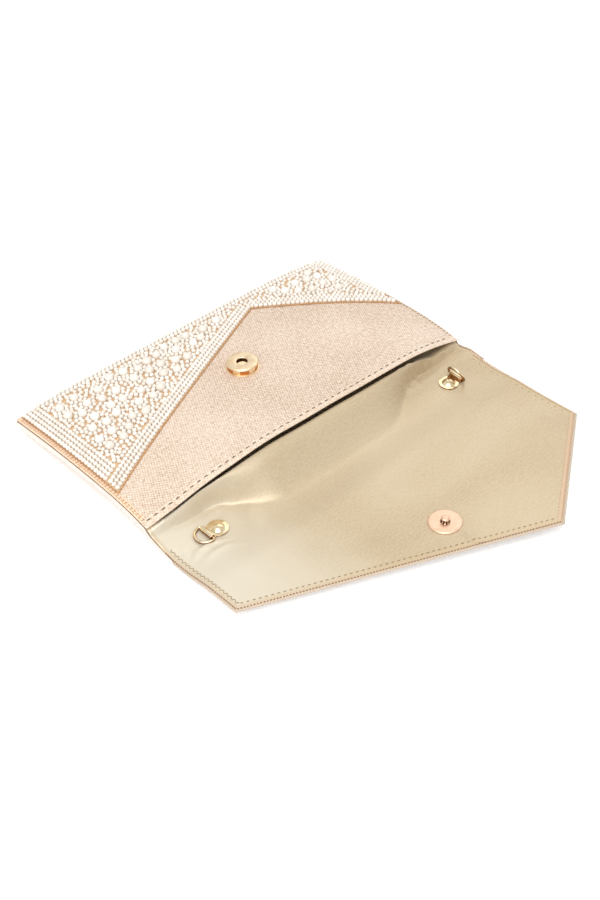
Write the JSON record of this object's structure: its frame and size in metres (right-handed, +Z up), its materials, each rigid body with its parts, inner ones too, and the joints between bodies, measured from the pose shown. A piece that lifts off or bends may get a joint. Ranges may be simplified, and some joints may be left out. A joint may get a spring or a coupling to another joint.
{
  "type": "clutch purse",
  "caption": "Envelope clutch purse with a beaded front, a pointed fold-over flap, satin lining, a magnetic snap and swinging D-rings for a strap.",
  "frame": {"origin": "on the flat underside of the back panel, at mid width, straight under the mouth edge of the front panel, with the purse lying open on its back", "axes": "+X to the right along the width, +Y from the mouth to the closed bottom edge (the open flap lies towards -Y), +Z up from the table"},
  "size_m": [0.24, 0.2641, 0.0218],
  "materials": {
    "satin": "satin sheen, khaki gold",
    "shimmer_cloth": "metallic weave, champagne rose",
    "edge_cloth": "pale gold turned edge",
    "board": "plain stiffening board",
    "pearl": "pearlescent ivory",
    "gold_cord": "twisted metallic thread",
    "gold_plate": "polished pale gold",
    "rose_gold": "polished rose gold",
    "magnet": "plain magnet",
    "steel": "plain plated steel"
  },
  "bodies": {
    "pouch": {"back_cover": "shimmer_cloth", "back_board": "board", "back_lining": "satin", "front_cover": "shimmer_cloth", "front_board": "board", "front_lining": "satin", "side_seam_left": "edge_cloth", "side_seam_right": "edge_cloth", "bottom_gusset": "shimmer_cloth", "mouth_binding": "edge_cloth", "front_bead_field": "pearl", "v_edge_cord": "gold_cord", "snap_female_case": "gold_plate", "snap_female_magnet": "magnet", "snap_female_base": "gold_plate", "snap_female_washer": "steel"},
    "spine": {"spine_cover": "shimmer_cloth", "spine_stiffener": "board", "spine_lining": "satin", "d_ring_plate_left": "gold_plate", "d_ring_plate_right": "gold_plate", "rivet_left": "gold_plate", "rivet_right": "gold_plate", "rivet_washer_left": "steel", "rivet_washer_right": "steel"},
    "flap": {"flap_cover": "shimmer_cloth", "flap_board": "board", "flap_lining": "satin", "flap_edge_binding": "edge_cloth", "flap_bead_field": "pearl", "snap_male_plate": "rose_gold", "snap_male_stud": "rose_gold", "snap_male_washer": "steel"},
    "d_ring_left": {"d_ring_left": "gold_plate"},
    "d_ring_right": {"d_ring_right": "gold_plate"}
  },
  "joints": [
    {"name": "spine_fold", "type": "hinge", "parent": "pouch", "child": "spine", "pos_m": [0, -0.00985, 0.001], "axis": [-1, 0, 0], "range_deg": [0, 90]},
    {"name": "flap_fold", "type": "hinge", "parent": "spine", "child": "flap", "pos_m": [0, -0.03185, 0.0037], "axis": [-1, 0, 0], "range_deg": [0, 87.6]},
    {"name": "left_ring_swing", "type": "hinge", "parent": "spine", "child": "d_ring_left", "pos_m": [-0.094, -0.018, 0.00293], "axis": [0, 1, 0], "range_deg": [0, 144]},
    {"name": "right_ring_swing", "type": "hinge", "parent": "spine", "child": "d_ring_right", "pos_m": [0.098, -0.019, 0.00293], "axis": [0, -1, 0], "range_deg": [-116, 28]}
  ],
  "couplings": [
    {"joint": "flap_fold", "follows": "spine_fold", "ratio": 0.97328}
  ]
}
